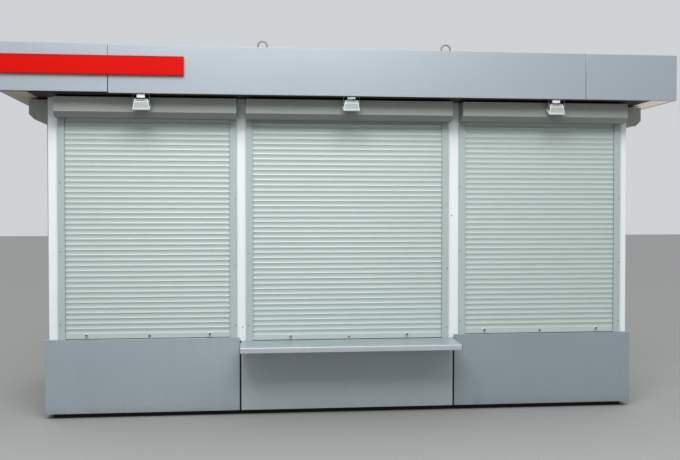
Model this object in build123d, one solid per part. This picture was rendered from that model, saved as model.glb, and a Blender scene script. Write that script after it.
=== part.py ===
"""Street kiosk: a framed sales cabin with five slatted roller shutters under one boxed roof.

Millimetres, +Z up, the sales front faces -Y. The origin is on the ground, at the middle of the cabin.
"""
import os
from math import ceil

from build123d import *

# Cabin body
BODY_WIDTH = 5000
BODY_DEPTH = 2200
WALL = 80
DECK_THICKNESS = 30

# Base frame and plinth cladding
RAIL_HEIGHT = 110
RAIL_WIDTH = 100
RAIL_WALL = 5
BASE_INSET = 35
CROSS_RAIL_COUNT = 5
GROUND_GAP = 40
PLINTH_PROUD = 28
PLINTH_SEAM = 14
SEAM_LEFT_X = -915
SEAM_RIGHT_X = 929

# Heights of the sales front
SILL_Z = 660
COUNTER_TOP_Z = 630
SOFFIT_Z = 2680

# Bays of the front, from the left corner: post, bay, mullion, bay, mullion, bay, post
CORNER_POST = 80
LEFT_BAY = 1475
LEFT_MULLION = 79
MIDDLE_BAY = 1750
RIGHT_MULLION = 93
RIGHT_POST_SHOWING = 64
SIDE_BAY = 1475

# Roller shutters
GUIDE_WIDTH = 58
GUIDE_DEPTH = 22
GUIDE_LIP = 4.5
GUIDE_SLOT = 38
GUIDE_CHAMBER = 8
SLAT_PITCH = 44
SLAT_THICKNESS = 9
SLAT_JOINT = 5
SLAT_HOLLOW = 4
SLAT_BACK_NOTCH = 2
SLAT_BACK_NOTCH_HEIGHT = 6
BAR_HEIGHT = 45
CURTAIN_END_GAP = 4
CURTAIN_TOP_GAP = 25
BOX_GAP = 15
BOX_HEIGHT = 165
BOX_DEPTH = 168
BOX_CHAMFER = 44
BOX_SHEET = 3
BOX_SLOT_GAP = 1.5

# Counter shelf
COUNTER_DEPTH = 340
COUNTER_EDGE = 46
COUNTER_FALL = 11
COUNTER_RADIUS = 5

# Roof box
OVERHANG = 310
FASCIA_HEIGHT = 385
FASCIA_LEFT_RISE = 8
CASSETTE_DEPTH = 30
SHEET = 4
FASCIA_SEAM_LEFT_X = -1966
FASCIA_SEAM_RIGHT_X = 2003
FASCIA_GAP = 3
SOFFIT_THICKNESS = 20
ROOF_BEAM_WIDTH = 60
ROOF_BEAM_WALL = 4
ROOF_COVER_THICKNESS = 12
PARAPET = 35
UPSTAND = 4
JOIST_COUNT = 8

# Accent stripe on the fascia
STRIPE_HEIGHT = 150
STRIPE_PROUD = 30
STRIPE_RISE = 145
STRIPE_LENGTH = 1447

# Lifting loops on the roof
LOOP_BAR = 15
LOOP_WIDTH = 88
LOOP_RISE = 68
LOOP_BEND = 22
LOOP_HOLE_GAP = 1
LOOP_LEFT_X = -730
LOOP_RIGHT_X = 803

# Floodlights under the front soffit, tilted to shine back onto the shutters
LAMP_XS = (-1705, 13, 1782)
LAMP_SETBACK = 50
LAMP_TILT = 30
LAMP_HEIGHT = 70
LAMP_DROP = 45
LAMP_RIM_WIDTH = 146
LAMP_RIM_DEPTH = 104
LAMP_RIM_EDGE = 17
LAMP_RIM_LIP = 5
LAMP_GLASS_INSET = 8
LAMP_GLASS_RECESS = 5
LAMP_BACK_WIDTH = 108
LAMP_BACK_DEPTH = 54
LAMP_CORNER = 9
LAMP_BOX_WIDTH = 68
LAMP_BOX_DEPTH = 44
LAMP_BOX_HEIGHT = 31
LAMP_GLAND = 20
STIRRUP_SPAN = 138
STIRRUP_STRIP = 3
STIRRUP_WIDTH = 25
PIVOT_DROP = 22
PIVOT_BOLT = 10

# Back door
DOOR_WIDTH = 900
DOOR_HEIGHT = 2050
DOOR_FROM_RIGHT = 1200
DOOR_FRAME = 50
DOOR_STOP = 15
DOOR_LEAF = 45
DOOR_GAP = 4
DOOR_RAIL = 120
DOOR_LOWER_PANEL = 780
DOOR_PANEL_RECESS = 5
DOOR_PANEL_BEVEL = 4
HANDLE_HEIGHT = 1050
HANDLE_BACKSET = 60
HANDLE_PLATE_HEIGHT = 230
HANDLE_PLATE_WIDTH = 38
HANDLE_PLATE = 6
HANDLE_NECK = 18
HANDLE_REACH = 45
HANDLE_GRIP = 16
HANDLE_GRIP_LENGTH = 120

# Places worked out from the sizes above
FRONT_Y = -BODY_DEPTH / 2
BACK_Y = BODY_DEPTH / 2
LEFT_X = -BODY_WIDTH / 2
RIGHT_X = BODY_WIDTH / 2
DECK_Z = RAIL_HEIGHT + DECK_THICKNESS
DOOR_X0 = RIGHT_X - DOOR_FROM_RIGHT - DOOR_WIDTH / 2
DOOR_X1 = DOOR_X0 + DOOR_WIDTH
DOOR_TOP = DECK_Z + DOOR_HEIGHT
BOX_BOTTOM_Z = SOFFIT_Z - BOX_GAP - BOX_HEIGHT
FASCIA_TOP_Z = SOFFIT_Z + FASCIA_HEIGHT
COVER_TOP_Z = FASCIA_TOP_Z - PARAPET
BEAM_TOP_Z = COVER_TOP_Z - ROOF_COVER_THICKNESS
ROOF_HALF_WIDTH = BODY_WIDTH / 2 + OVERHANG
ROOF_HALF_DEPTH = BODY_DEPTH / 2 + OVERHANG
INNER_HALF_WIDTH = ROOF_HALF_WIDTH - CASSETTE_DEPTH
INNER_HALF_DEPTH = ROOF_HALF_DEPTH - CASSETTE_DEPTH
LEFT_BAY_X = LEFT_X + CORNER_POST
MIDDLE_BAY_X = LEFT_BAY_X + LEFT_BAY + LEFT_MULLION
RIGHT_BAY_X = MIDDLE_BAY_X + MIDDLE_BAY + RIGHT_MULLION
RIGHT_BAY = RIGHT_X - RIGHT_POST_SHOWING - RIGHT_BAY_X
SIDE_BAY_Y = FRONT_Y + CORNER_POST


def block(x0, x1, y0, y1, z0, z1):
    """A plain cuboid between two corners."""
    return Pos(x0, y0, z0) * Box(x1 - x0, y1 - y0, z1 - z0, align=(Align.MIN, Align.MIN, Align.MIN))


def tube_along_x(x0, x1, y0, y1, z0, z1, wall):
    """A rectangular steel tube, open at both ends."""
    bore = block(x0, x1, y0 + wall, y1 - wall, z0 + wall, z1 - wall)
    return block(x0, x1, y0, y1, z0, z1) - bore


def tube_along_y(x0, x1, y0, y1, z0, z1, wall):
    """The same tube, lying front to back."""
    bore = block(x0 + wall, x1 - wall, y0, y1, z0 + wall, z1 - wall)
    return block(x0, x1, y0, y1, z0, z1) - bore


def cassette(width, height, depth):
    """A folded sheet tray, face at y=0 towards -Y, open at the back, from x=0 and z=0."""
    face = block(0, width, 0, depth, 0, height)
    return face - block(SHEET, width - SHEET, SHEET, depth, SHEET, height - SHEET)


def eight_sided(across_flats):
    """The outline of a bar or bolt, drawn with eight sides, two of them level."""
    return RegularPolygon(across_flats / 2, 8, major_radius=False, rotation=22.5)


def save(name, *pieces):
    """Write one named sub-part, which may be several like pieces."""
    solids = [solid for piece in pieces for solid in piece.solids()]
    shape = solids[0] if len(solids) == 1 else Compound(children=solids)
    export_step(shape, f"parts/{name}.step")


def on_left_side(piece):
    """Turn a piece made for the front wall plane, at y=0, onto the left side wall."""
    return Pos(LEFT_X, 0, 0) * Rot(0, 0, -90) * piece


def mirrored_sides(piece):
    """The left-hand piece and its twin on the right."""
    return piece, piece.mirror(Plane.YZ)


# Base frame: two long rails joined by cross rails, set back under the cladding
def base_frame():
    half_x = BODY_WIDTH / 2 - BASE_INSET
    half_y = BODY_DEPTH / 2 - BASE_INSET
    long_rails = []
    for y0 in (-half_y, half_y - RAIL_WIDTH):
        y1 = y0 + RAIL_WIDTH
        long_rails.append(tube_along_x(-half_x, half_x, y0, y1, 0, RAIL_HEIGHT, RAIL_WALL))
    cross_rails = []
    step = (2 * half_x - RAIL_WIDTH) / (CROSS_RAIL_COUNT - 1)
    for i in range(CROSS_RAIL_COUNT):
        x0 = -half_x + i * step
        y0 = -half_y + RAIL_WIDTH
        x1 = x0 + RAIL_WIDTH
        cross_rails.append(tube_along_y(x0, x1, y0, -y0, 0, RAIL_HEIGHT, RAIL_WALL))
    save("base_long_rails", *long_rails)
    save("base_cross_rails", *cross_rails)
    save("floor_deck", block(LEFT_X, RIGHT_X, FRONT_Y, BACK_Y, RAIL_HEIGHT, DECK_Z))


# Posts: L-shaped at the front corners, with a leg behind each guide rail
def posts():
    leg = CORNER_POST + GUIDE_WIDTH
    corner = block(0, leg, 0, WALL, DECK_Z, SOFFIT_Z) + block(0, WALL, 0, leg, DECK_Z, SOFFIT_Z)
    front_left = Pos(LEFT_X, FRONT_Y, 0) * corner
    save("front_corner_posts", front_left, front_left.mirror(Plane.YZ))
    mullions = []
    for bay_x, width in ((MIDDLE_BAY_X, LEFT_MULLION), (RIGHT_BAY_X, RIGHT_MULLION)):
        x0 = bay_x - width - GUIDE_WIDTH
        mullions.append(block(x0, bay_x + GUIDE_WIDTH, FRONT_Y, FRONT_Y + WALL, DECK_Z, SOFFIT_Z))
    save("front_mullions", *mullions)
    back_left = block(LEFT_X, LEFT_X + WALL, BACK_Y - WALL, BACK_Y, DECK_Z, SOFFIT_Z)
    save("back_corner_posts", *mirrored_sides(back_left))


# Wall panels: sill and head panels frame the openings behind the shutters
def walls():
    y0, y1 = FRONT_Y, FRONT_Y + WALL
    bays = (
        (LEFT_BAY_X, LEFT_BAY, SILL_Z),
        (MIDDLE_BAY_X, MIDDLE_BAY, COUNTER_TOP_Z),
        (RIGHT_BAY_X, RIGHT_X - CORNER_POST - RIGHT_BAY_X, SILL_Z),
    )
    sills, heads = [], []
    for x, width, sill in bays:
        x0, x1 = x + GUIDE_WIDTH, x + width - GUIDE_WIDTH
        sills.append(block(x0, x1, y0, y1, DECK_Z, sill))
        heads.append(block(x0, x1, y0, y1, BOX_BOTTOM_Z, SOFFIT_Z))
    save("front_sill_panels", *sills)
    save("front_head_panels", *heads)

    jamb_y = SIDE_BAY_Y + GUIDE_WIDTH
    panel_y = SIDE_BAY_Y + SIDE_BAY - GUIDE_WIDTH
    x0, x1 = LEFT_X, LEFT_X + WALL
    save("side_sill_panels", *mirrored_sides(block(x0, x1, jamb_y, panel_y, DECK_Z, SILL_Z)))
    save("side_head_panels", *mirrored_sides(block(x0, x1, jamb_y, panel_y, BOX_BOTTOM_Z, SOFFIT_Z)))
    save("side_wall_panels", *mirrored_sides(block(x0, x1, panel_y, BACK_Y - WALL, DECK_Z, SOFFIT_Z)))

    y0, y1 = BACK_Y - WALL, BACK_Y
    frame_x0, frame_x1 = DOOR_X0 - DOOR_FRAME, DOOR_X1 + DOOR_FRAME
    beside_left = block(LEFT_X + WALL, frame_x0, y0, y1, DECK_Z, SOFFIT_Z)
    beside_right = block(frame_x1, RIGHT_X - WALL, y0, y1, DECK_Z, SOFFIT_Z)
    save("back_wall_panels", beside_left, beside_right)
    over = block(frame_x0, frame_x1, y0, y1, DOOR_TOP + DOOR_FRAME, SOFFIT_Z)
    save("back_wall_over_door", over)


# Back door: a steel leaf with two pressed panels in a welded frame
def back_door():
    y0, y1 = BACK_Y - WALL, BACK_Y
    frame = block(DOOR_X0 - DOOR_FRAME, DOOR_X1 + DOOR_FRAME, y0, y1, DECK_Z, DOOR_TOP + DOOR_FRAME)
    frame -= block(DOOR_X0 + DOOR_STOP, DOOR_X1 - DOOR_STOP, y0, y1, DECK_Z, DOOR_TOP - DOOR_STOP)
    frame -= block(DOOR_X0, DOOR_X1, y1 - DOOR_LEAF - DOOR_GAP, y1, DECK_Z, DOOR_TOP)
    save("door_frame", frame)

    face_y = y1 - DOOR_GAP
    leaf_x0, leaf_x1 = DOOR_X0 + DOOR_GAP, DOOR_X1 - DOOR_GAP
    leaf = block(leaf_x0, leaf_x1, face_y - DOOR_LEAF, face_y, DECK_Z, DOOR_TOP - DOOR_GAP)
    middle_rail = DECK_Z + DOOR_RAIL + DOOR_LOWER_PANEL
    panels = ((DECK_Z + DOOR_RAIL, middle_rail), (middle_rail + DOOR_RAIL, DOOR_TOP - DOOR_RAIL))
    x0, x1 = DOOR_X0 + DOOR_RAIL, DOOR_X1 - DOOR_RAIL
    for z0, z1 in panels:
        recess = block(x0, x1, face_y - DOOR_PANEL_RECESS, face_y, z0, z1)
        floor_edges = recess.faces().sort_by(Axis.Y)[0].edges()
        leaf -= chamfer(floor_edges, DOOR_PANEL_BEVEL)
    save("door_leaf", leaf)
    save("door_handle", Pos(DOOR_X0 + HANDLE_BACKSET, face_y, DECK_Z + HANDLE_HEIGHT) * lever_handle())


# Lever handle: a round-ended plate, a neck and a round grip
def lever_handle():
    """Handle on a door face at y=0 that looks towards +Y, its grip reaching towards +X."""
    standing = (Align.CENTER, Align.CENTER, Align.MIN)
    slot = SlotOverall(HANDLE_PLATE_HEIGHT, HANDLE_PLATE_WIDTH, rotation=90)
    plate = extrude(slot, HANDLE_PLATE)
    neck = Cylinder(HANDLE_NECK / 2, HANDLE_REACH, align=standing)
    grip = Cylinder(HANDLE_GRIP / 2, HANDLE_GRIP_LENGTH, align=standing)
    return Rot(-90, 0, 0) * (plate + neck) + Pos(0, HANDLE_REACH, 0) * Rot(0, 90, 0) * grip


# Plinth: folded sheet cladding that hangs in front of the base rails
def plinth():
    height = SILL_Z - GROUND_GAP
    end = RIGHT_X + PLINTH_PROUD
    y = FRONT_Y - PLINTH_PROUD
    half_seam = PLINTH_SEAM / 2
    under_counter = COUNTER_TOP_Z - COUNTER_EDGE - GROUND_GAP
    spans = (
        ("left", -end, SEAM_LEFT_X - half_seam, height),
        ("middle", SEAM_LEFT_X + half_seam, SEAM_RIGHT_X - half_seam, under_counter),
        ("right", SEAM_RIGHT_X + half_seam, end, height),
    )
    for name, x0, x1, tall in spans:
        panel = Pos(x0, y, GROUND_GAP) * cassette(x1 - x0, tall, PLINTH_PROUD)
        save(f"plinth_front_{name}", panel)

    side = Pos(-end, BACK_Y, GROUND_GAP) * Rot(0, 0, -90) * cassette(BODY_DEPTH, height, PLINTH_PROUD)
    save("plinth_sides", *mirrored_sides(side))

    back = []
    for x0, x1 in ((-end, DOOR_X0 - DOOR_FRAME), (DOOR_X1 + DOOR_FRAME, end)):
        turned = Pos(x1, BACK_Y + PLINTH_PROUD, GROUND_GAP) * Rot(0, 0, 180)
        back.append(turned * cassette(x1 - x0, height, PLINTH_PROUD))
    save("plinth_back", *back)


# Counter: a folded shelf under the middle shutter, falling slightly to the front
def counter():
    top, low = COUNTER_TOP_Z, COUNTER_TOP_Z - COUNTER_EDGE
    nose = FRONT_Y - PLINTH_PROUD - COUNTER_DEPTH
    outline = Polyline(
        (FRONT_Y, top),
        (FRONT_Y - PLINTH_PROUD, top),
        (nose, top - COUNTER_FALL),
        (nose, low - COUNTER_FALL),
        (nose + SHEET * 4, low - COUNTER_FALL),
        (FRONT_Y - PLINTH_PROUD, low),
        (FRONT_Y, low),
        close=True,
    )
    x0 = SEAM_LEFT_X + PLINTH_SEAM / 2
    x1 = SEAM_RIGHT_X - PLINTH_SEAM / 2
    shelf = Pos(x0, 0, 0) * extrude(Plane.YZ * make_face(outline), x1 - x0)
    front_edges = shelf.edges().filter_by(Axis.X).filter_by_position(Axis.Y, nose - 1, nose + 1)
    save("counter_shelf", fillet(front_edges, COUNTER_RADIUS))


# Shutter box: folded sheet with a chamfered lower front edge and a slot for the curtain
def shutter_box(width):
    """Box from x=0 to its width, its back on the wall plane y=0, its underside at z=0."""
    chamfered = Polyline(
        (0, 0),
        (-(BOX_DEPTH - BOX_CHAMFER), 0),
        (-BOX_DEPTH, BOX_CHAMFER),
        (-BOX_DEPTH, BOX_HEIGHT),
        (0, BOX_HEIGHT),
        close=True,
    )
    outline = make_face(chamfered)
    inside = offset(outline, -BOX_SHEET)
    box = extrude(Plane.YZ * outline, width)
    box -= Pos(BOX_SHEET, 0, 0) * extrude(Plane.YZ * inside, width - 2 * BOX_SHEET)
    slot = SLAT_THICKNESS / 2 + BOX_SLOT_GAP
    centre = -GUIDE_DEPTH / 2
    ends = GUIDE_WIDTH - GUIDE_SLOT
    return box - block(ends, width - ends, centre - slot, centre + slot, 0, BOX_SHEET)


# Guide rail: an extrusion with a deep slot for the slat ends and a closed chamber behind it
def guide_rail(height):
    """Left-hand rail from x=0, its back on the wall plane y=0, its slot open towards +X."""
    rail = block(0, GUIDE_WIDTH, -GUIDE_DEPTH, 0, 0, height)
    slot = block(GUIDE_WIDTH - GUIDE_SLOT, GUIDE_WIDTH, GUIDE_LIP - GUIDE_DEPTH, -GUIDE_LIP, 0, height)
    wall = (GUIDE_WIDTH - GUIDE_SLOT - GUIDE_CHAMBER) / 2
    chamber = block(wall, wall + GUIDE_CHAMBER, GUIDE_LIP - GUIDE_DEPTH, -GUIDE_LIP, 0, height)
    return rail - slot - chamber


# Curtain: slats hooked into one another, hollow towards the outside, with a plain bottom bar
def curtain(width, sill):
    """Curtain of a bay that starts at x=0, standing on its sill, in the middle of its guides."""
    back = -GUIDE_DEPTH / 2 + SLAT_THICKNESS / 2
    front = back - SLAT_THICKNESS
    hollow = front + SLAT_HOLLOW
    top = BOX_BOTTOM_Z + CURTAIN_TOP_GAP
    slats = ceil((top - sill - BAR_HEIGHT) / SLAT_PITCH)
    rise = (SLAT_PITCH - SLAT_JOINT) / 2
    z = sill + BAR_HEIGHT
    run = [Line((back, sill), (front, sill)), Line((front, sill), (front, z))]
    for _ in range(slats):
        joint = z + 2 * rise
        run.append(ThreePointArc((front, z), (hollow, z + rise), (front, joint)))
        run.append(Line((front, joint), (front, z + SLAT_PITCH)))
        z += SLAT_PITCH
    run.append(Line((front, z), (back, z)))
    for _ in range(slats):
        z -= SLAT_PITCH
        notch = z - SLAT_JOINT / 2
        start = (back, notch + SLAT_BACK_NOTCH_HEIGHT / 2)
        end = (back, notch - SLAT_BACK_NOTCH_HEIGHT / 2)
        run.append(Line(run[-1] @ 1, start))
        run.append(Line(start, (back - SLAT_BACK_NOTCH, notch)))
        run.append(Line((back - SLAT_BACK_NOTCH, notch), end))
    run.append(Line(run[-1] @ 1, (back, sill)))
    ends = GUIDE_WIDTH - GUIDE_SLOT + CURTAIN_END_GAP
    profile = Plane.YZ * make_face(Curve() + run)
    return Pos(ends, 0, 0) * extrude(profile, width - 2 * ends)


def shutters():
    front = (
        ("left", LEFT_BAY_X, LEFT_BAY, SILL_Z),
        ("middle", MIDDLE_BAY_X, MIDDLE_BAY, COUNTER_TOP_Z),
        ("right", RIGHT_BAY_X, RIGHT_BAY, SILL_Z),
    )
    rails = []
    for name, x, width, sill in front:
        save(f"shutter_box_{name}", Pos(x, FRONT_Y, BOX_BOTTOM_Z) * shutter_box(width))
        save(f"shutter_curtain_{name}", Pos(x, FRONT_Y, 0) * curtain(width, sill))
        rail = guide_rail(BOX_BOTTOM_Z - sill)
        rails.append(Pos(x, FRONT_Y, sill) * rail)
        rails.append(Pos(x + width, FRONT_Y, sill) * rail.mirror(Plane.YZ))
    save("front_guide_rails", *rails)

    far_end = -(SIDE_BAY_Y + SIDE_BAY)
    box = on_left_side(Pos(far_end, 0, BOX_BOTTOM_Z) * shutter_box(SIDE_BAY))
    cloth = on_left_side(Pos(far_end, 0, 0) * curtain(SIDE_BAY, SILL_Z))
    rail = guide_rail(BOX_BOTTOM_Z - SILL_Z)
    rear = on_left_side(Pos(far_end, 0, SILL_Z) * rail)
    fore = on_left_side(Pos(far_end + SIDE_BAY, 0, SILL_Z) * rail.mirror(Plane.YZ))
    save("side_shutter_boxes", *mirrored_sides(box))
    save("side_shutter_curtains", *mirrored_sides(cloth))
    save("side_guide_rails", *mirrored_sides(rear), *mirrored_sides(fore))


# Roof: soffit panel, steel edge beams and joists, and a cover with its edges turned up
def roof():
    x, y = INNER_HALF_WIDTH, INNER_HALF_DEPTH
    beam_z = SOFFIT_Z + SOFFIT_THICKNESS
    save("soffit_panel", block(-x, x, -y, y, SOFFIT_Z, beam_z))
    beam = tube_along_x(-x, x, -y, ROOF_BEAM_WIDTH - y, beam_z, BEAM_TOP_Z, ROOF_BEAM_WALL)
    save("roof_edge_beams", beam, beam.mirror(Plane.XZ))
    joist_y = y - ROOF_BEAM_WIDTH
    step = (2 * x - ROOF_BEAM_WIDTH) / (JOIST_COUNT - 1)
    joists = []
    for i in range(JOIST_COUNT):
        x0 = -x + i * step
        x1 = x0 + ROOF_BEAM_WIDTH
        joists.append(tube_along_y(x0, x1, -joist_y, joist_y, beam_z, BEAM_TOP_Z, ROOF_BEAM_WALL))
    save("roof_joists", *joists)

    cover = block(-x, x, -y, y, BEAM_TOP_Z, FASCIA_TOP_Z - SHEET)
    edge_x, edge_y = x - UPSTAND, y - UPSTAND
    cover -= block(-edge_x, edge_x, -edge_y, edge_y, COVER_TOP_Z, FASCIA_TOP_Z - SHEET)
    loops = []
    for loop_x in (LOOP_LEFT_X, LOOP_RIGHT_X):
        loop, holes = lifting_loop(loop_x)
        cover -= holes
        cover -= holes.mirror(Plane.XZ)
        loops += [loop, loop.mirror(Plane.XZ)]
    save("roof_cover", cover)
    save("lifting_loops", *loops)


# Lifting loop: a bent bar standing on the edge beam, drawn with eight sides
def lifting_loop(x):
    """The bent bar at a place along the front beam, and the holes it needs in the roof cover."""
    y = ROOF_BEAM_WIDTH / 2 - INNER_HALF_DEPTH
    reach = (LOOP_WIDTH - LOOP_BAR) / 2
    top = FASCIA_TOP_Z + LOOP_RISE - LOOP_BAR / 2
    path = FilletPolyline(
        (x - reach, y, BEAM_TOP_Z),
        (x - reach, y, top),
        (x + reach, y, top),
        (x + reach, y, BEAM_TOP_Z),
        radius=LOOP_BEND,
    )
    foot = Plane(origin=(x - reach, y, BEAM_TOP_Z), z_dir=(0, 0, 1))
    bar = sweep(foot * eight_sided(LOOP_BAR), path)
    hole = extrude(eight_sided(LOOP_BAR + 2 * LOOP_HOLE_GAP), ROOF_COVER_THICKNESS)
    holes = Pos(x - reach, y, BEAM_TOP_Z) * hole + Pos(x + reach, y, BEAM_TOP_Z) * hole
    return bar, holes


# Fascia: folded cassettes round the roof, in three lengths along the front, the left one fixed a bit high
def fascia():
    half_gap = FASCIA_GAP / 2
    spans = (
        ("left", -ROOF_HALF_WIDTH, FASCIA_SEAM_LEFT_X - half_gap, SOFFIT_Z + FASCIA_LEFT_RISE),
        ("middle", FASCIA_SEAM_LEFT_X + half_gap, FASCIA_SEAM_RIGHT_X - half_gap, SOFFIT_Z),
        ("right", FASCIA_SEAM_RIGHT_X + half_gap, ROOF_HALF_WIDTH, SOFFIT_Z),
    )
    for name, x0, x1, z0 in spans:
        tray = cassette(x1 - x0, FASCIA_HEIGHT, CASSETTE_DEPTH)
        save(f"fascia_front_{name}", Pos(x0, -ROOF_HALF_DEPTH, z0) * tray)
    side_length = 2 * INNER_HALF_DEPTH
    turned = Pos(-ROOF_HALF_WIDTH, INNER_HALF_DEPTH, SOFFIT_Z) * Rot(0, 0, -90)
    side = turned * cassette(side_length, FASCIA_HEIGHT, CASSETTE_DEPTH)
    save("fascia_sides", *mirrored_sides(side))
    turned = Pos(ROOF_HALF_WIDTH, ROOF_HALF_DEPTH, SOFFIT_Z) * Rot(0, 0, 180)
    save("fascia_back", turned * cassette(2 * ROOF_HALF_WIDTH, FASCIA_HEIGHT, CASSETTE_DEPTH))


# Accent stripe: a shallow box band that wraps the left front corner of the fascia
def stripe():
    x, y = -ROOF_HALF_WIDTH, -ROOF_HALF_DEPTH
    z0 = SOFFIT_Z + STRIPE_RISE
    z1 = z0 + STRIPE_HEIGHT
    band = block(x - STRIPE_PROUD, x + STRIPE_LENGTH, y - STRIPE_PROUD, y, z0, z1)
    band += block(x - STRIPE_PROUD, x, y, y + STRIPE_LENGTH, z0, z1)
    save("red_stripe", band)


# Floodlight: a tapered housing with a rim round its glass, hung in a stirrup from the soffit
def floodlight(x):
    hanging = (Align.CENTER, Align.CENTER, Align.MAX)
    terminal_box = Box(LAMP_BOX_WIDTH, LAMP_BOX_DEPTH, LAMP_BOX_HEIGHT, align=hanging)
    terminal_box = chamfer(terminal_box.edges().filter_by(Axis.Z), LAMP_CORNER)
    gland = extrude(eight_sided(LAMP_GLAND), -LAMP_DROP)
    tilted = Pos(0, 0, -LAMP_DROP) * Rot(LAMP_TILT, 0, 0)
    lamp = terminal_box + gland + tilted * lamp_housing() + stirrup(tilted)
    return Pos(x, LAMP_SETBACK - ROOF_HALF_DEPTH, SOFFIT_Z) * lamp


def lamp_housing():
    """Housing with the middle of its back at the origin, shining towards -Z."""
    body_depth = LAMP_HEIGHT - LAMP_RIM_EDGE
    back = Rectangle(LAMP_BACK_WIDTH, LAMP_BACK_DEPTH)
    mouth = Rectangle(LAMP_RIM_WIDTH - 2 * LAMP_RIM_LIP, LAMP_RIM_DEPTH - 2 * LAMP_RIM_LIP)
    body = loft([chamfer(back.vertices(), LAMP_CORNER),
                 Pos(0, 0, -body_depth) * chamfer(mouth.vertices(), LAMP_CORNER)])
    rim = extrude(RectangleRounded(LAMP_RIM_WIDTH, LAMP_RIM_DEPTH, LAMP_CORNER), LAMP_RIM_EDGE)
    glass_width = LAMP_RIM_WIDTH - 2 * LAMP_GLASS_INSET
    glass_depth = LAMP_RIM_DEPTH - 2 * LAMP_GLASS_INSET
    recess = extrude(Rectangle(glass_width, glass_depth), LAMP_GLASS_RECESS)
    return body + Pos(0, 0, -LAMP_HEIGHT) * (rim - recess)


def stirrup(tilted):
    """A bent strip from the soffit at z=0 to the pivot bolts on the sides of the tilted housing."""
    pivot = tilted * Pos(0, 0, -PIVOT_DROP)
    y, z = pivot.position.Y, pivot.position.Z
    half, low = STIRRUP_WIDTH / 2, z - STIRRUP_WIDTH / 2
    outer = STIRRUP_SPAN / 2 + STIRRUP_STRIP
    strip = block(-outer, outer, y - half, y + half, -STIRRUP_STRIP, 0)
    strip += block(-outer, -STIRRUP_SPAN / 2, y - half, y + half, low, 0)
    strip += block(STIRRUP_SPAN / 2, outer, y - half, y + half, low, 0)
    bolt = Plane(origin=(-outer, y, z), z_dir=(1, 0, 0)) * eight_sided(PIVOT_BOLT)
    return strip + extrude(bolt, 2 * outer)


def floodlights():
    save("floodlights", *[floodlight(x) for x in LAMP_XS])


os.makedirs("parts", exist_ok=True)
base_frame()
posts()
walls()
back_door()
plinth()
counter()
shutters()
roof()
fascia()
stripe()
floodlights()
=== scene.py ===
from math import pi, radians

import bmesh
import bpy
from mathutils import Matrix, Vector


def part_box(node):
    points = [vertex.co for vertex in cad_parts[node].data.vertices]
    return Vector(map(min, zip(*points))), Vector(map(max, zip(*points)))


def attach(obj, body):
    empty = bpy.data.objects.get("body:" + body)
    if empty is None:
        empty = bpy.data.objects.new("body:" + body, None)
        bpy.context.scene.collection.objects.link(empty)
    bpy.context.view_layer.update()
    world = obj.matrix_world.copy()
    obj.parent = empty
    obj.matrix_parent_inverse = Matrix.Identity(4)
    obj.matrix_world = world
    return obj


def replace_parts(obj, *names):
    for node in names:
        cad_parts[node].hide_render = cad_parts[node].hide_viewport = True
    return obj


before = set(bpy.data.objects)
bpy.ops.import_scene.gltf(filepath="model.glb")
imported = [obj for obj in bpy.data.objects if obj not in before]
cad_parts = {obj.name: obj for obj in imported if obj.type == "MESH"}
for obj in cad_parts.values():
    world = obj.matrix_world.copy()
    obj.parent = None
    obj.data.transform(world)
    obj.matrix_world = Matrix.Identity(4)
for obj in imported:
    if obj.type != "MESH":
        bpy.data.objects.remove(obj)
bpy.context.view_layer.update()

# Base frame: welded box rails in dark primer, set back under the cladding.
# Road mud dries on the lower half and rust shows through it. Carried over from the frame, with a worn paint.
RAIL_PAINT = (0.020, 0.021, 0.022, 1)
ROAD_MUD = (0.085, 0.072, 0.058, 1)
RAIL_RUST = (0.085, 0.030, 0.012, 1)
LACQUER_ROUGHNESS = 0.12


def put(tree, kind, settings=None, **inputs):
    """Adds a shader node of a kind. Inputs are given by name, as a value or as a socket to link from."""
    made = tree.nodes.new("ShaderNode" + kind)
    for name, value in (settings or {}).items():
        setattr(made, name, value)
    for name, value in inputs.items():
        join(tree, value, made.inputs[name.replace("_", " ")])
    return made


def join(tree, value, socket):
    """Links a socket to an input, or sets the input to a plain value."""
    if isinstance(value, bpy.types.NodeSocket):
        tree.links.new(value, socket)
    else:
        socket.default_value = value


def maths(tree, operation, first, second=0.0, third=0.0):
    made = put(tree, "Math", {"operation": operation})
    for value, socket in zip((first, second, third), made.inputs):
        join(tree, value, socket)
    return made.outputs[0]


def blend_colours(tree, share, first, second):
    """Mixes two colours by a share. The node has its colours at inputs 6 and 7 and at output 2."""
    made = put(tree, "Mix", {"data_type": "RGBA"})
    for value, place in ((share, 0), (first, 6), (second, 7)):
        join(tree, value, made.inputs[place])
    return made.outputs[2]


def spread(tree, value, low, high):
    """Stretches the values between low and high over 0 to 1, with soft ends."""
    made = put(tree, "MapRange", {"interpolation_type": "SMOOTHSTEP"}, Value=value, From_Min=low,
               From_Max=high)
    return made.outputs[0]


def object_place(tree):
    return put(tree, "TexCoord").outputs["Object"]


def object_axes(tree):
    """The X, Y and Z of a point in Object coordinates."""
    return put(tree, "SeparateXYZ", Vector=object_place(tree)).outputs


def noise_at(tree, cells, detail=3.0, stretch=(1, 1, 1)):
    """Noise in Object coordinates, with so many cells a metre and a stretch along each axis."""
    stretched = put(tree, "Mapping", Vector=object_place(tree), Scale=stretch).outputs[0]
    return put(tree, "TexNoise", Vector=stretched, Scale=cells, Detail=detail).outputs[0]


def new_group(name, takes, gives):
    """A shader node group, its input sockets and its output sockets."""
    group = bpy.data.node_groups.new(name, "ShaderNodeTree")
    for label, kind, value in takes:
        group.interface.new_socket(label, in_out="INPUT", socket_type=kind).default_value = value
    for label, kind in gives:
        group.interface.new_socket(label, in_out="OUTPUT", socket_type=kind)
    return group, group.nodes.new("NodeGroupInput").outputs, group.nodes.new("NodeGroupOutput").inputs


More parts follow.
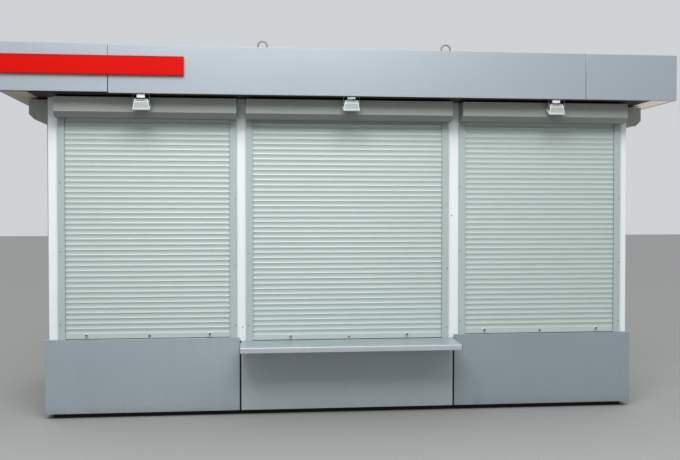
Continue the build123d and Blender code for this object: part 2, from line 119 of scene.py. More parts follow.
def weathering_group():
    """Paint that is a little uneven, with rain streaks and with mud splashed up from the ground."""
    colour = "NodeSocketColor"
    number = "NodeSocketFloat"
    takes = (
        ("Paint", colour, (0.5, 0.5, 0.5, 1)),
        ("Grime", colour, ROAD_MUD),
        ("Unevenness", number, 0.1),
        ("Streaks", number, 0.2),
        ("Splash", number, 0.0),
        ("Splash Height", number, 0.3),
        ("Roughness", number, 0.4),
    )
    group, given, made = new_group("weathering", takes, (("Color", colour), ("Roughness", number)))
    # Broad clouds make the paint a little lighter and darker
    cloud = maths(group, "SUBTRACT", noise_at(group, 1.3, 5.0), 0.5)
    tone = maths(group, "MULTIPLY_ADD", cloud, given["Unevenness"], 1.0)
    toned = put(group, "VectorMath", {"operation": "SCALE"}, Scale=tone)
    join(group, given["Paint"], toned.inputs[0])
    # Rain leaves long upright runs, in some places only
    runs = spread(group, noise_at(group, 14.0, 4.0, (1, 1, 0.06)), 0.52, 0.80)
    thinned = maths(group, "MULTIPLY", runs, spread(group, noise_at(group, 2.1, 2.0), 0.35, 0.70))
    streaks = maths(group, "MULTIPLY", thinned, given["Streaks"])
    # Mud thins out with height, has a ragged edge and is half a film and half drops
    height = object_axes(group)["Z"]
    ragged = maths(group, "MULTIPLY_ADD", noise_at(group, 9.0, 6.0), given["Splash Height"], height)
    reach = maths(group, "MULTIPLY", given["Splash Height"], 1.5)
    low_share = maths(group, "SUBTRACT", 1.0, maths(group, "DIVIDE", ragged, reach))
    drops = spread(group, noise_at(group, 120.0, 2.0), 0.46, 0.62)
    film = maths(group, "MULTIPLY_ADD", drops, 0.5, 0.5)
    mud = maths(group, "MULTIPLY", spread(group, low_share, 0.0, 0.9), film)
    splash = maths(group, "MULTIPLY", mud, given["Splash"])
    # Grime covers the paint and dulls its gloss, which is never quite even
    grime = put(group, "Clamp", Value=maths(group, "ADD", streaks, splash)).outputs[0]
    join(group, blend_colours(group, grime, toned.outputs[0], given["Grime"]), made["Color"])
    dulled = maths(group, "MULTIPLY_ADD", grime, 0.35, given["Roughness"])
    fine = maths(group, "SUBTRACT", noise_at(group, 45.0, 3.0), 0.5)
    join(group, maths(group, "MULTIPLY_ADD", fine, 0.12, dulled), made["Roughness"])
    return group


def sheet_surface_group():
    """The height of a painted sheet: orange peel in the paint, and long shallow waves in the metal."""
    number = "NodeSocketFloat"
    takes = (
        ("Peel", number, 0.2),
        ("Peel Scale", number, 420.0),
        ("Waves", number, 0.0),
        ("Wave Scale", number, 1.6),
    )
    group, given, made = new_group("sheet_surface", takes, (("Height", number),))
    place = object_place(group)
    peel = put(group, "TexNoise", Vector=place, Scale=given["Peel Scale"], Detail=2.0)
    waves = put(group, "TexNoise", Vector=place, Scale=given["Wave Scale"], Detail=1.0)
    low = maths(group, "MULTIPLY", waves.outputs[0], given["Waves"])
    join(group, maths(group, "MULTIPLY_ADD", peel.outputs[0], given["Peel"], low), made["Height"])
    return group


WEATHERING = weathering_group()
SHEET_SURFACE = sheet_surface_group()


def shader_inputs(material):
    return material.node_tree.nodes["Principled BSDF"].inputs


def painted(name, paint, gloss, grime=ROAD_MUD, uneven=0.1, streaks=0.1, splash=0.0, splash_height=0.3,
            peel=0.00006, waves=0.0, metallic=0.0, coat=0.0):
    """A weathered paint. Gloss is its roughness where clean, and coat the share of clear lacquer on it."""
    material = bpy.data.materials.new(name)
    material.use_nodes = True
    tree = material.node_tree
    weather = put(tree, "Group", {"node_tree": WEATHERING}, Paint=paint, Grime=grime, Unevenness=uneven,
                  Streaks=streaks, Splash=splash, Splash_Height=splash_height, Roughness=gloss)
    surface = put(tree, "Group", {"node_tree": SHEET_SURFACE}, Peel=peel, Waves=waves)
    bump = put(tree, "Bump", Height=surface.outputs["Height"], Distance=1.0)
    finish = {"Base Color": weather.outputs["Color"], "Roughness": weather.outputs["Roughness"],
              "Normal": bump.outputs[0], "Metallic": metallic, "Coat Weight": coat,
              "Coat Roughness": LACQUER_ROUGHNESS}
    for label, value in finish.items():
        join(tree, value, shader_inputs(material)[label])
    return material


def recolour(material, share, colour, strength=1.0):
    """Lays a second colour over what feeds the base colour, by a share that changes over the surface."""
    tree = material.node_tree
    base = shader_inputs(material)["Base Color"]
    cover = maths(tree, "MULTIPLY", share, strength)
    join(tree, blend_colours(tree, cover, base.links[0].from_socket, colour), base)


def dress(material, *names):
    for name in names:
        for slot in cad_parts[name].material_slots:
            slot.material = material


rail_paint = painted("rail_paint", RAIL_PAINT, 0.6, splash=0.9, splash_height=0.12)
tree = rail_paint.node_tree
recolour(rail_paint, spread(tree, noise_at(tree, 17.0, 8.0), 0.56, 0.66), RAIL_RUST)
dress(rail_paint, "base_long_rails", "base_cross_rails")

# Floor deck: film-faced plywood screwed down on the rails, its edge hidden by the plinth.
# Only its underside shows, dark brown with a satin film. Carried over, with a new finish.
PLYWOOD_FILM = (0.055, 0.030, 0.018, 1)
dress(painted("deck_board", PLYWOOD_FILM, 0.45, streaks=0.0, splash=0.3), "floor_deck")

# Posts, mullions and door frame: rounded steel tube in gloss white, the brightest thing in front.
# It has faint rain streaks, and a little dirt splashed up near the plinth.
# A small block in the same white is fixed under the soffit, at the head of the left mullion.
POST_WHITE = (0.745, 0.775, 0.79, 1)
POST_GRIME = (0.36, 0.36, 0.32, 1)
POST_CORNER = 0.004
BRACKET_LOW = (-0.940, -1.160, 2.648)
BRACKET_HIGH = (-0.871, -1.099, 2.676)
BRACKET_EDGE = 0.003
NARROW_FACE = 0.004        # area by perimeter, about half the width of a long face
SHARP_ANGLE = 35
FOLD_ANGLE = 25
MERGE_DISTANCE = 0.00001


def add_object(name, data):
    made = bpy.data.objects.new(name, data)
    bpy.context.scene.collection.objects.link(made)
    return made


def new_piece(name, bm, material, sharp=SHARP_ANGLE):
    """One object of a bmesh that rides with the cabin. Only narrow faces are shaded smooth."""
    narrow = [face.calc_area() / face.calc_perimeter() < NARROW_FACE for face in bm.faces]
    mesh = bpy.data.meshes.new(name)
    bm.to_mesh(mesh)
    bm.free()
    mesh.set_sharp_from_angle(angle=radians(sharp))
    for face, smooth in zip(mesh.polygons, narrow):
        face.use_smooth = smooth
    mesh.materials.append(material)
    piece = add_object(name, mesh)
    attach(piece, "root")
    return piece


def round_edges(bm, edges, offset, segments=2, clamp=False):
    return bmesh.ops.bevel(bm, geom=edges, offset=offset, segments=segments, profile=0.5, affect="EDGES",
                           material=-1, clamp_overlap=clamp)


def merged_copy(node):
    """The shape of a frame node, with its loose triangles merged into flat faces."""
    bm = bmesh.new()
    bm.from_mesh(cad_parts[node].data)
    bmesh.ops.remove_doubles(bm, verts=bm.verts, dist=MERGE_DISTANCE)
    bmesh.ops.dissolve_limit(bm, angle_limit=radians(1), verts=bm.verts, edges=bm.edges)
    return bm


def with_rounded_folds(nodes, ending, material, fold):
    """Pieces that stand for frame nodes, with the outer folds of each rounded."""
    for node in nodes:
        bm = merged_copy(node)
        outer = [edge for edge in bm.edges if edge.is_manifold and edge.is_convex]
        folds = [edge for edge in outer if edge.calc_face_angle() > radians(FOLD_ANGLE)]
        round_edges(bm, folds, fold, clamp=True)
        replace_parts(new_piece(f"{node}_{ending}", bm, material), node)


def at(x, y, z):
    return Matrix.Translation((x, y, z))


def add_block(bm, low, high, rounding=0.0, segments=2, turned=Matrix()):
    """A block between two corners, with rounded edges, turned by a matrix after that."""
    low, high = Vector(low), Vector(high)
    place = at(*(low + high) / 2) @ Matrix.Diagonal((*(high - low), 1))
    verts = bmesh.ops.create_cube(bm, size=1.0, matrix=place)["verts"]
    if rounding:
        edges = list({edge for vert in verts for edge in vert.link_edges})
        verts = round_edges(bm, edges, rounding, segments, clamp=True)["verts"]
    bmesh.ops.transform(bm, matrix=turned, verts=verts)


white_paint = painted("white_paint", POST_WHITE, 0.32, POST_GRIME, uneven=0.05, streaks=0.16, splash=0.35,
                      splash_height=0.8, coat=0.3)
with_rounded_folds(("front_corner_posts", "front_mullions", "back_corner_posts", "door_frame"), "painted",
                   white_paint, POST_CORNER)
bracket = bmesh.new()
add_block(bracket, BRACKET_LOW, BRACKET_HIGH, BRACKET_EDGE)
new_piece("mullion_head_bracket", bracket, white_paint)

# Wall panels: steel-faced insulated panels in a pale grey polyester coat, held between the posts.
# Rain has left faint runs on the sheets. Carried over from the frame, with a new finish.
WALL_GREY = (0.56, 0.59, 0.59, 1)
wall_coat = painted("wall_coat", WALL_GREY, 0.42, POST_GRIME, streaks=0.25, waves=0.002)
dress(wall_coat, "front_sill_panels", "front_head_panels", "side_sill_panels", "side_head_panels",
      "side_wall_panels", "back_wall_panels", "back_wall_over_door")

# Back door: a pressed steel leaf in grey paint with two recessed panels, closed on a rubber seal.
# It hangs on three barrel hinges on the side away from its lever handle.
# Handle and hinges are satin steel, and a brass lock cylinder sits in the handle's plate.
DOOR_GREY = (0.33, 0.37, 0.39, 1)
DOOR_FOLD = 0.0025
SATIN_STEEL = (0.55, 0.55, 0.53, 1)
BRASS = (0.62, 0.42, 0.17, 1)
RUBBER = (0.012, 0.012, 0.012, 1)
SEAL_WIDTH = 0.005
SEAL_BACK = 0.012
SEAL_FRONT = 0.002
BACK_WALL = 1.100
FITTING_EDGE = 0.001
HINGE_RADIUS = 0.008
HINGE_LENGTH = 0.110
HINGE_PARTS = 3
HINGE_GAP = 0.0004
HINGE_OUT = 0.0072
HINGE_HEIGHTS = (0.42, 1.17, 1.92)
PIN_RADIUS = 0.005
PIN_PROUD = 0.004
HANDLE_PLATE = (0.038, 0.006, 0.230)
PLATE_END_RADIUS = 0.0185
PLATE_EDGE = 0.0015
HANDLE_REACH = 0.045
NECK_RADIUS = 0.009
GRIP_RADIUS = 0.008
GRIP_LENGTH = 0.120
GRIP_EDGE = 0.004
LOCK_DROP = 0.072
LOCK_RADIUS = 0.0085
LOCK_PROUD = 0.003
LOCK_SUNK = 0.001
LOCK_TAIL = ((-0.005, -LOCK_SUNK, -0.024), (0.005, LOCK_PROUD, -0.004))
KEYWAY = ((-0.0012, 0, -0.005), (0.0012, 0.0036, 0.004))


def add_rod(bm, start, end, radius, rounding=0.0, sides=20):
    """A round rod between two points, with its end edges rounded."""
    start, end = Vector(start), Vector(end)
    turn = (end - start).to_track_quat("Z", "Y").to_matrix().to_4x4()
    verts = bmesh.ops.create_cone(bm, cap_ends=True, segments=sides, radius1=radius, radius2=radius,
                                  depth=(end - start).length, matrix=at(*(start + end) / 2) @ turn)["verts"]
    if rounding:
        edges = {edge for vert in verts for edge in vert.link_edges}
        round_edges(bm, [e for e in edges if any(len(face.verts) > 4 for face in e.link_faces)], rounding)


door_coat = painted("door_coat", DOOR_GREY, 0.40, streaks=0.15, splash=0.3)
with_rounded_folds(("door_leaf",), "pressed", door_coat, DOOR_FOLD)
satin_steel = painted("satin_steel", SATIN_STEEL, 0.28, streaks=0.0, metallic=1.0)
tree = satin_steel.node_tree
lines = maths(tree, "MULTIPLY", noise_at(tree, 900.0, 2.0, (0.05, 1, 1)), 0.00008)
brushed = put(tree, "Bump", Height=lines, Distance=1.0)
join(tree, brushed.outputs[0], shader_inputs(satin_steel)["Normal"])
rubber = painted("rubber", RUBBER, 0.7, streaks=0.05)
brass = painted("brass", BRASS, 0.3, streaks=0.0, metallic=1.0)

leaf_low, leaf_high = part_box("door_leaf")
face_y = leaf_high.y
seal = bmesh.new()
for x0, x1, z0, z1 in (
    (leaf_low.x - SEAL_WIDTH, leaf_low.x, leaf_low.z, leaf_high.z),
    (leaf_high.x, leaf_high.x + SEAL_WIDTH, leaf_low.z, leaf_high.z),
    (leaf_low.x, leaf_high.x, leaf_high.z, leaf_high.z + SEAL_WIDTH),
):
    add_block(seal, (x0, face_y - SEAL_BACK, z0), (x1, face_y - SEAL_FRONT, z1), FITTING_EDGE)
new_piece("door_seal", seal, rubber)

hinges = bmesh.new()
hinge_x = leaf_high.x + SEAL_WIDTH / 2
hinge_y = BACK_WALL + HINGE_OUT


def add_hinge_rod(foot, top, radius, sides):
    add_rod(hinges, (hinge_x, hinge_y, foot), (hinge_x, hinge_y, top), radius, FITTING_EDGE, sides)


for height in HINGE_HEIGHTS:
    foot = height - HINGE_LENGTH / 2
    for part in range(HINGE_PARTS):
        start = foot + part * HINGE_LENGTH / HINGE_PARTS
        add_hinge_rod(start + HINGE_GAP, start + HINGE_LENGTH / HINGE_PARTS - HINGE_GAP, HINGE_RADIUS, 16)
    add_hinge_rod(foot - PIN_PROUD, foot + HINGE_LENGTH + PIN_PROUD, PIN_RADIUS, 12)
new_piece("door_hinges", hinges, satin_steel)

handle = bmesh.new()
handle_low, handle_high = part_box("door_handle")
plate_w, plate_t, plate_h = HANDLE_PLATE
handle_place = at(handle_low.x + plate_w / 2, face_y, (handle_low.z + handle_high.z) / 2)
add_block(handle, (-plate_w / 2, 0, -plate_h / 2), (plate_w / 2, plate_t, plate_h / 2), turned=handle_place)
corners = [e for e in handle.edges if abs((e.verts[0].co - e.verts[1].co).normalized().y) > 0.9]
round_edges(handle, corners, PLATE_END_RADIUS, 10)
rims = [e for e in handle.edges if e.is_manifold and e.calc_face_angle() > radians(60)]
round_edges(handle, rims, PLATE_EDGE)
neck_end = handle_place @ Vector((0, HANDLE_REACH, 0))
grip_start = neck_end - Vector((FITTING_EDGE, 0, 0))
grip_end = neck_end + Vector((GRIP_LENGTH, 0, 0))
add_rod(handle, handle_place.translation, neck_end, NECK_RADIUS, FITTING_EDGE)
add_rod(handle, grip_start, grip_end, GRIP_RADIUS, GRIP_EDGE, 24)
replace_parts(new_piece("door_lever", handle, satin_steel), "door_handle")

cylinder = bmesh.new()
lock_place = handle_place @ at(0, plate_t, -LOCK_DROP)
lock_ends = [lock_place @ Vector((0, y, 0)) for y in (-LOCK_SUNK, LOCK_PROUD)]
add_rod(cylinder, *lock_ends, LOCK_RADIUS, 0.0008)
add_block(cylinder, *LOCK_TAIL, 0.002, turned=lock_place)
add_block(cylinder, *KEYWAY, 0.0004, turned=lock_place)
new_piece("door_lock_cylinder", cylinder, brass)

# Plinth: folded sheet panels in a blue-grey coat that hang in front of the base rails.
# They show dried splashes, waves and dull scuffs. The right front panel is painted darker as painted shade,
# and the middle one lighter as painted light under the counter.
# A dark rubber strip stands in each of the two open seams in front.
PLINTH_GREY = (0.35, 0.405, 0.43, 1)
PLINTH_PAINTED_SHADE = (0.22, 0.26, 0.28, 1)
PLINTH_PAINTED_LIGHT = (0.52, 0.56, 0.57, 1)
SCUFF_GREY = (0.40, 0.44, 0.45, 1)
MIDDLE_PANEL_HALF = 0.925
PLINTH_FRONT = -1.110
PLINTH_FOLD = 0.003
SEAM_STRIP_Y = (-1.121, -1.101)
SEAM_STRIP_FOOT = 0.002
SEAM_STRIP_TOP = 0.629
SEAM_STRIP_PLAY = 0.0005
plinth_coat = painted("plinth_coat", PLINTH_GREY, 0.36, uneven=0.22, streaks=0.12, splash=0.45,
                      splash_height=0.12, waves=0.004, metallic=0.2)
tree = plinth_coat.node_tree
scratches = spread(tree, noise_at(tree, 60.0, 2.0, (0.08, 1, 1)), 0.66, 0.74)
scuffs = maths(tree, "MULTIPLY", scratches, spread(tree, noise_at(tree, 2.7, 3.0), 0.52, 0.66))
recolour(plinth_coat, scuffs, SCUFF_GREY, 0.5)
axes = object_axes(tree)
in_front = maths(tree, "LESS_THAN", axes["Y"], PLINTH_FRONT)
shaded_right_panel = maths(tree, "GREATER_THAN", axes["X"], MIDDLE_PANEL_HALF)
lit_middle_panel = maths(tree, "COMPARE", axes["X"], 0.0, MIDDLE_PANEL_HALF)
# Painted shade on the right front panel, painted light on the middle one
recolour(plinth_coat, maths(tree, "MULTIPLY", shaded_right_panel, in_front), PLINTH_PAINTED_SHADE, 0.35)
recolour(plinth_coat, maths(tree, "MULTIPLY", lit_middle_panel, in_front), PLINTH_PAINTED_LIGHT, 0.38)
with_rounded_folds(("plinth_front_left", "plinth_front_middle", "plinth_front_right", "plinth_sides",
                    "plinth_back"), "sheet", plinth_coat, PLINTH_FOLD)

left_low, left_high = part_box("plinth_front_left")
middle_low, middle_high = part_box("plinth_front_middle")
right_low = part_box("plinth_front_right")[0]
seam_strips = bmesh.new()
for x0, x1 in ((left_high.x, middle_low.x), (middle_high.x, right_low.x)):
    add_block(seam_strips, (x0 + SEAM_STRIP_PLAY, SEAM_STRIP_Y[0], left_low.z + SEAM_STRIP_FOOT),
              (x1 - SEAM_STRIP_PLAY, SEAM_STRIP_Y[1], SEAM_STRIP_TOP), 0.001)
new_piece("plinth_seam_strips", seam_strips, rubber)

# Counter: a folded shelf under the middle shutter, fixed on the wall above the plinth.
# The same coat, with dust on its top. The whole top face is painted darker as painted shade, and a pale band
# along its front fold is a painted highlight.
COUNTER_GREY = (0.44, 0.475, 0.51, 1)
COUNTER_TOP_SHADE = (0.285, 0.355, 0.375, 1)
EDGE_HIGHLIGHT = (0.62, 0.64, 0.66, 1)
COUNTER_DUST = (0.45, 0.46, 0.43, 1)
counter_coat = painted("counter_coat", COUNTER_GREY, 0.34, uneven=0.12, streaks=0.05, waves=0.002,
                       metallic=0.2)
counter_low, counter_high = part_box("counter_shelf")
tree = counter_coat.node_tree
axes = object_axes(tree)
# Painted shade: the top face is painted darker than the rest of the sheet
on_top = spread(tree, axes["Y"], counter_low.y + 0.006, counter_low.y + 0.016)
recolour(counter_coat, on_top, COUNTER_TOP_SHADE, 0.75)
dust = spread(tree, noise_at(tree, 7.0, 6.0), 0.40, 0.75)
recolour(counter_coat, dust, COUNTER_DUST, 0.25)
# Painted highlight: a pale band along the front fold, broken up by noise
near_nose = spread(tree, axes["Y"], counter_low.y + 0.011, counter_low.y + 0.004)
near_top = spread(tree, axes["Z"], counter_high.z - 0.030, counter_high.z - 0.014)
patchy = maths(tree, "MULTIPLY_ADD", noise_at(tree, 22.0, 4.0), 0.5, 0.25)
edge_highlight = maths(tree, "MULTIPLY", maths(tree, "MULTIPLY", near_nose, near_top), patchy)
recolour(counter_coat, edge_highlight, EDGE_HIGHLIGHT)
dress(counter_coat, "counter_shelf")

# Counter ends: on the left the folded sheet returns over the seam of the plinth, in the counter's own coat.
# A thin dark plastic cap closes each end. All have the shelf's own profile.
# The return and the left cap stop short of the wall.
END_RETURN = 0.0085
LEFT_CAP = 0.005
RIGHT_CAP = 0.0035
RETURN_BACK = -1.228
CAP_DARK = (0.06, 0.07, 0.072, 1)


def face_outwards(bm):
    bmesh.ops.recalc_face_normals(bm, faces=bm.faces)


def keep_beyond(bm, place, facing):
    """Cuts a closed bmesh by a plane, keeps what is on its front side and closes the cut."""
    geometry = bm.verts[:] + bm.edges[:] + bm.faces[:]
    made = bmesh.ops.bisect_plane(bm, geom=geometry, plane_co=place, plane_no=facing, clear_inner=True)
    rim = [part for part in made["geom_cut"] if isinstance(part, bmesh.types.BMEdge)]
    bmesh.ops.contextual_create(bm, geom=rim)


def shelf_end(x, side, thick, away):
    """The last stretch of the counter before its end at x, moved outwards."""
    bm = merged_copy("counter_shelf")
    keep_beyond(bm, (x - side * thick, 0, 0), (side, 0, 0))
    if side < 0:
        keep_beyond(bm, (0, RETURN_BACK, 0), (0, -1, 0))
    face_outwards(bm)
    bmesh.ops.translate(bm, vec=(side * away, 0, 0), verts=bm.verts)
    return bm


cap_plastic = painted("cap_plastic", CAP_DARK, 0.55, streaks=0.05)
for name, x, side, thick, away, material in (
    ("counter_end_return", counter_low.x, -1, END_RETURN, END_RETURN, counter_coat),
    ("counter_cap_left", counter_low.x, -1, LEFT_CAP, END_RETURN + LEFT_CAP, cap_plastic),
    ("counter_cap_right", counter_high.x, 1, RIGHT_CAP, RIGHT_CAP, cap_plastic),
):
    new_piece(name, shelf_end(x, side, thick, away), material)

# Roller shutters: each bay has a box, two guide rails and a curtain of drawn slats hollow towards the street.
# The front bays start from a wall 1.1 m off the middle, the side bays from one 2.5 m off it.
# An outline gives y and z from the wall's face and from the foot of its own slat or bar.
SLAT_GREEN = (0.45, 0.515, 0.495, 1)
SLAT_DULL = (0.40, 0.46, 0.44, 1)
FRONT_WALL = 1.100
SIDE_WALL = 2.500
SLAT_PITCH = 0.044
SLAT_LIP = 0.0392
SLAT_FRONT = -0.0155
SLAT_HOLLOW = 0.0050
SLAT_NECK = -0.0128
SLAT_BACK = -0.0065
SLAT_START = 0.705
SLAT_STEPS = 8
SLAT_SHARP = 22
BAR_HEIGHT = 0.045
BAR = ((SLAT_BACK, 0.004), (SLAT_FRONT + 0.001, 0.004), (SLAT_FRONT, 0.006),
       (SLAT_FRONT, BAR_HEIGHT - 0.0034), (SLAT_FRONT + 0.0006, BAR_HEIGHT - 0.0026),
       (SLAT_NECK, BAR_HEIGHT - 0.0022), (SLAT_NECK, BAR_HEIGHT), (SLAT_BACK, BAR_HEIGHT))
BAR_SEAL = ((SLAT_BACK - 0.001, 0.0002), (SLAT_FRONT + 0.002, 0.0002), (SLAT_FRONT + 0.001, 0.0045),
            (SLAT_BACK, 0.0045))
CURTAIN_INSET = 0.023
CURTAIN_TOP = 2.502
BAYS = {
    "left": (0, FRONT_WALL, -2.420, -0.945, 0.660),
    "middle": (0, FRONT_WALL, -0.866, 0.884, 0.630),
    "right": (0, FRONT_WALL, 0.977, 2.436, 0.660),
    "side_left": (-90, SIDE_WALL, -0.455, 1.020, 0.660),
    "side_right": (90, SIDE_WALL, -1.020, 0.455, 0.660),
}


def spun(degrees, axis):
    return Matrix.Rotation(radians(degrees), 4, axis)


def bays():
    """Each bay's name, ends and sill, and the matrix that takes it to its wall. Its outside is towards -Y."""
    for bay, (turn, wall, left, right, sill) in BAYS.items():
        yield bay, left, right, sill, spun(turn, "Z") @ at(0, -wall, 0)


def connected(verts):
    """The given vertices and all that edges join to them."""
    found = set(verts)
    reach = list(verts)
    while reach:
        for edge in reach.pop().link_edges:
            fresh = set(edge.verts) - found
            found |= fresh
            reach += fresh
    return list(found)


def add_profile(bm, outline, start, end, place):
    """A bar from start to end along X, whose outline gives y and z."""
    face = bm.faces.new([bm.verts.new((start, y, z)) for y, z in outline])
    grown = bmesh.ops.extrude_face_region(bm, geom=[face])["geom"]
    verts = [part for part in grown if isinstance(part, bmesh.types.BMVert)]
    bmesh.ops.translate(bm, vec=(end - start, 0, 0), verts=verts)
    bmesh.ops.transform(bm, matrix=place, verts=connected(verts))


def slat_outline():
    """A slat from its lower lip to the top of the neck that hooks behind the next one."""
    outline = [(SLAT_BACK, 0)]
    for step in range(SLAT_STEPS + 1):
        across = 2 * step / SLAT_STEPS - 1
        hollow = SLAT_HOLLOW * (1 - abs(across) ** 2.2)
        outline.append((SLAT_FRONT + hollow, SLAT_LIP * step / SLAT_STEPS))
    outline += [(SLAT_FRONT, SLAT_LIP + 0.0022), (SLAT_NECK, SLAT_LIP + 0.0028)]
    return outline + [(SLAT_NECK, SLAT_PITCH), (SLAT_BACK, SLAT_PITCH)]


slat_coat = painted("slat_coat", SLAT_GREEN, 0.36, POST_GRIME, uneven=0.06, streaks=0.08)
tree = slat_coat.node_tree
raised = maths(tree, "SUBTRACT", object_axes(tree)["Z"], SLAT_START)
number = maths(tree, "FLOOR", maths(tree, "DIVIDE", raised, SLAT_PITCH))
tone = put(tree, "TexWhiteNoise", {"noise_dimensions": "1D"}, W=number).outputs["Value"]
recolour(slat_coat, tone, SLAT_DULL, 0.12)

side_slats = bmesh.new()
side_bars = bmesh.new()
front_bars = bmesh.new()
seals = bmesh.new()
for bay, left, right, sill, place in bays():
    at_side = bay.startswith("side")
    slats = side_slats if at_side else bmesh.new()
    ends = (left + CURTAIN_INSET, right - CURTAIN_INSET)
    foot = sill + BAR_HEIGHT
    while foot < CURTAIN_TOP:
        add_profile(slats, slat_outline(), *ends, place @ at(0, 0, foot))
        foot += SLAT_PITCH
    add_profile(side_bars if at_side else front_bars, BAR, *ends, place @ at(0, 0, sill))
    add_profile(seals, BAR_SEAL, *ends, place @ at(0, 0, sill))
    if not at_side:
        face_outwards(slats)
        piece = new_piece("slats_" + bay, slats, slat_coat, SLAT_SHARP)
        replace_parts(piece, "shutter_curtain_" + bay)
for bm in (side_slats, front_bars, side_bars, seals):
    face_outwards(bm)
piece = new_piece("slats_sides", side_slats, slat_coat, SLAT_SHARP)
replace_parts(piece, "side_shutter_curtains")
new_piece("bottom_bars_front", front_bars, slat_coat)
new_piece("bottom_bars_sides", side_bars, slat_coat)
new_piece("bottom_bar_seals", seals, rubber)

# Guide rails: deep extruded channels screwed to the posts, with a brush strip in each slot.
# The screws have flanged pan heads, dulled by the weather. Two more sit in the left and the right mullion.
GUIDE_GREEN = (0.40, 0.465, 0.45, 1)
BOX_BOTTOM = 2.500
GUIDE_WIDTH = 0.058
GUIDE_FACE = -0.022
GUIDE_LIP = 0.0045
GUIDE_EDGE = 0.0008
BRUSH_BLACK = (0.03, 0.032, 0.03, 1)
BRUSH_DEPTH = 0.006
BRUSH_PROUD = 0.0008
BRUSH_PLAY = 0.0002
BRUSH_SIDES = ((GUIDE_FACE + GUIDE_LIP, SLAT_FRONT - BRUSH_PLAY), (SLAT_BACK + BRUSH_PLAY, -GUIDE_LIP))
SCREW_STEEL = (0.20, 0.22, 0.22, 1)
FRONT_SCREWS = (
    (-2.400, 1.967), (-2.400, 1.393), (-2.400, 0.785), (-0.953, 1.835), (-0.953, 1.273), (-0.953, 0.761),
    (-0.848, 1.374), (-0.848, 0.760), (0.869, 1.234), (0.869, 0.722),
    (0.985, 1.948), (0.985, 1.388), (0.985, 0.775), (2.424, 1.844), (2.424, 1.280), (2.424, 0.759),
)
MULLION_SCREWS = ((-0.897, 0.744), (0.916, 1.694))
SIDE_SCREW_HEIGHTS = (0.775, 1.385, 1.955)
SCREW_INSET = 0.011
PAN_HEAD = ((0, 0), (0.0055, 0), (0.0055, 0.0010), (0.0042, 0.0012), (0.0040, 0.0024), (0.0026, 0.0032),
            (0, 0.0034))
OUTWARDS = spun(90, "X")


def add_turned(bm, outline, place, steps=20):
    """A solid of revolution. The outline gives radius and height, and starts and ends on the axis."""
    verts = [bm.verts.new((radius, 0, height)) for radius, height in outline]
    edges = [bm.edges.new(pair) for pair in zip(verts, verts[1:])]
    made = bmesh.ops.spin(bm, geom=verts + edges, cent=(0, 0, 0), axis=(0, 0, 1), angle=2 * pi, steps=steps,
                          use_merge=True)
    last = {v for e in made["geom_last"] if isinstance(e, bmesh.types.BMEdge) for v in e.verts}
    island = connected(last)
    bmesh.ops.remove_doubles(bm, verts=island, dist=0.000001)
    island = [vert for vert in island if vert.is_valid]
    bmesh.ops.recalc_face_normals(bm, faces=list({face for vert in island for face in vert.link_faces}))
    bmesh.ops.transform(bm, matrix=place, verts=island)


guide_coat = painted("guide_coat", GUIDE_GREEN, 0.34, POST_GRIME, uneven=0.05, streaks=0.15)
brush_pile = painted("brush_pile", BRUSH_BLACK, 0.9, streaks=0.0)
screw_steel = painted("screw_steel", SCREW_STEEL, 0.42, streaks=0.0, metallic=0.7)
with_rounded_folds(("front_guide_rails", "side_guide_rails"), "drawn", guide_coat,
                   GUIDE_EDGE)

brushes = bmesh.new()
front_place = at(0, -FRONT_WALL, 0)
heads = [(front_place, x, 0, z) for x, z in MULLION_SCREWS]
heads += [(front_place, x, GUIDE_FACE, z) for x, z in FRONT_SCREWS]
for bay, left, right, sill, place in bays():
    for mouth, towards in ((left + GUIDE_WIDTH, 1), (right - GUIDE_WIDTH, -1)):
        x0, x1 = sorted((mouth - towards * BRUSH_DEPTH, mouth + towards * BRUSH_PROUD))
        for y0, y1 in BRUSH_SIDES:
            add_block(brushes, (x0, y0, sill), (x1, y1, BOX_BOTTOM), turned=place)
    if bay.startswith("side"):
        inset = (left + SCREW_INSET, right - SCREW_INSET)
        heads += [(place, x, GUIDE_FACE, z) for x in inset for z in SIDE_SCREW_HEIGHTS]
new_piece("guide_brushes", brushes, brush_pile)
screws = bmesh.new()
for place, x, y, z in heads:
    add_turned(screws, PAN_HEAD, place @ at(x, y, z) @ OUTWARDS, 16)
new_piece("guide_screws", screws, screw_steel)

# Bottom bar fittings: two pulls and a lock on each front curtain.
# A pull is a steel stud in a pale plastic rose, and the lock a small cylinder, brass on the middle curtain.
ROSE_PLASTIC = (0.62, 0.66, 0.64, 1)
PULLS = ((-2.190, 0.697), (-1.173, 0.697), (-0.488, 0.667), (0.516, 0.670), (1.203, 0.699), (2.214, 0.699))
DARK_LOCKS = ((-1.675, 0.683), (1.706, 0.683))
BRASS_LOCK = (0.015, 0.655)
ROSE = ((0, 0), (0.015, 0), (0.015, 0.0015), (0.0135, 0.0035), (0.009, 0.0045), (0.0085, 0.006), (0, 0.006))
STUD = ((0, 0.005), (0.0045, 0.005), (0.0045, 0.016), (0.0085, 0.0175), (0.0095, 0.021), (0.0085, 0.0245),
        (0.004, 0.026), (0, 0.0262))
LOCK_BARREL = ((0, 0), (0.0105, 0), (0.0105, 0.0022), (0.0090, 0.0034), (0.0070, 0.0036), (0.0068, 0.0028),
               (0, 0.0028))
LOCK_SLOT = ((-0.0009, -0.0034, -0.0045), (0.0009, -0.0020, 0.0045))


def on_bar(x, z):
    """The place of a fitting on the face of a front curtain's bottom bar."""
    return front_place @ at(x, SLAT_FRONT, z)


def add_lock(bm, x, z):
    add_turned(bm, LOCK_BARREL, on_bar(x, z) @ OUTWARDS, 24)
    add_block(bm, *LOCK_SLOT, 0.0003, turned=on_bar(x, z))


